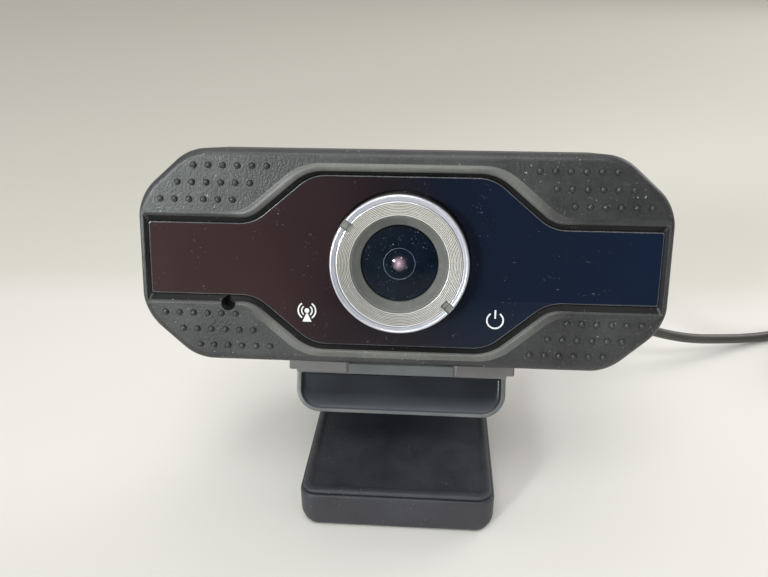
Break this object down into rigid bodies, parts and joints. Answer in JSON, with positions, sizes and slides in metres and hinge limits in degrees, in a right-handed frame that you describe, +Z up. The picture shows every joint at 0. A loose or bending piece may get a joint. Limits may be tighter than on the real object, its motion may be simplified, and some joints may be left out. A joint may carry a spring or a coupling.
{
  "type": "webcam on folding clip stand",
  "caption": "Wide webcam head with a manual focus ring, tilting on a clip bracket that folds over a padded foot, with its USB cable coiled beside it.",
  "frame": {"origin": "middle of the sole under the foot, on the surface that the webcam stands on", "axes": "+Z up, -Y the side that the lens looks to, +X to the right as seen from the front"},
  "size_m": [0.2048, 0.0972, 0.0758],
  "materials": {
    "foot_plastic": "satin",
    "pad_rubber": "matt",
    "brass": "knurled, turned",
    "steel": "plated",
    "nylon": "natural",
    "bracket_plastic": "satin gloss",
    "head_plastic": "fine spark-eroded grain",
    "panel_gloss": "piano black",
    "board_green": "solder mask",
    "chip_black": "matt",
    "filter_glass": "coated",
    "lens_black": "anodised black",
    "mic_metal": "satin",
    "boot_rubber": "matt",
    "wire_red": "satin",
    "led_white": "gloss",
    "guide_clear": "clear",
    "header_plastic": "natural",
    "cable_pvc": "satin PVC",
    "tie_strap": "hook and loop",
    "ring_metal": "turned, concentric grooves",
    "insert_dark": "matt",
    "lens_glass": "coated",
    "plug_metal": "nickel plate",
    "plug_white": "satin"
  },
  "bodies": {
    "foot": {"foot_shell": "foot_plastic", "foot_pad": "pad_rubber", "foot_sole": "pad_rubber", "tripod_insert": "brass", "leg_pin": "steel", "leg_washers": "nylon", "usb_cable": "cable_pvc", "cable_coil": "cable_pvc", "cable_tail": "cable_pvc", "cable_tie": "tie_strap", "plug_body": "cable_pvc", "plug_shell": "plug_metal", "plug_tongue": "plug_white"},
    "bracket": {"clip_bracket": "bracket_plastic", "lip_pad": "pad_rubber", "plate_pad": "pad_rubber", "tilt_pin": "steel", "tilt_washers": "nylon"},
    "camera_head": {"tilt_knuckle": "head_plastic", "knuckle_screws": "steel", "front_bezel": "head_plastic", "face_panel": "panel_gloss", "rear_shell": "head_plastic", "case_screws": "steel", "main_pcb": "board_green", "pcb_screws": "steel", "board_chips": "chip_black", "image_sensor": "chip_black", "ir_filter": "filter_glass", "lens_holder": "lens_black", "microphone": "mic_metal", "mic_boot": "boot_rubber", "mic_wires": "wire_red", "status_led": "led_white", "light_guide": "guide_clear", "usb_header": "header_plastic", "inner_lead": "cable_pvc", "strain_relief": "boot_rubber"},
    "ring": {"focus_ring": "ring_metal", "ring_insert": "insert_dark", "ring_circlip": "steel", "lens_barrel": "lens_black", "front_lens": "lens_glass", "inner_lens": "lens_glass", "rear_lens": "lens_glass"}
  },
  "joints": [
    {"name": "leg_fold", "type": "hinge", "parent": "foot", "child": "bracket", "pos_m": [0, 0.02365, 0.0126], "axis": [-1, 0, 0], "range_deg": [-12, 75], "deforming": ["usb_cable"]},
    {"name": "head_tilt", "type": "hinge", "parent": "bracket", "child": "camera_head", "pos_m": [0, -0.00825, 0.0292], "axis": [1, 0, 0], "range_deg": [-25, 35], "deforming": ["usb_cable"]},
    {"name": "focus_turn", "type": "hinge", "parent": "camera_head", "child": "ring", "pos_m": [0, -0.01825, 0.0561], "axis": [0, -0.9732, 0.23], "range_deg": [-120, 120]}
  ]
}
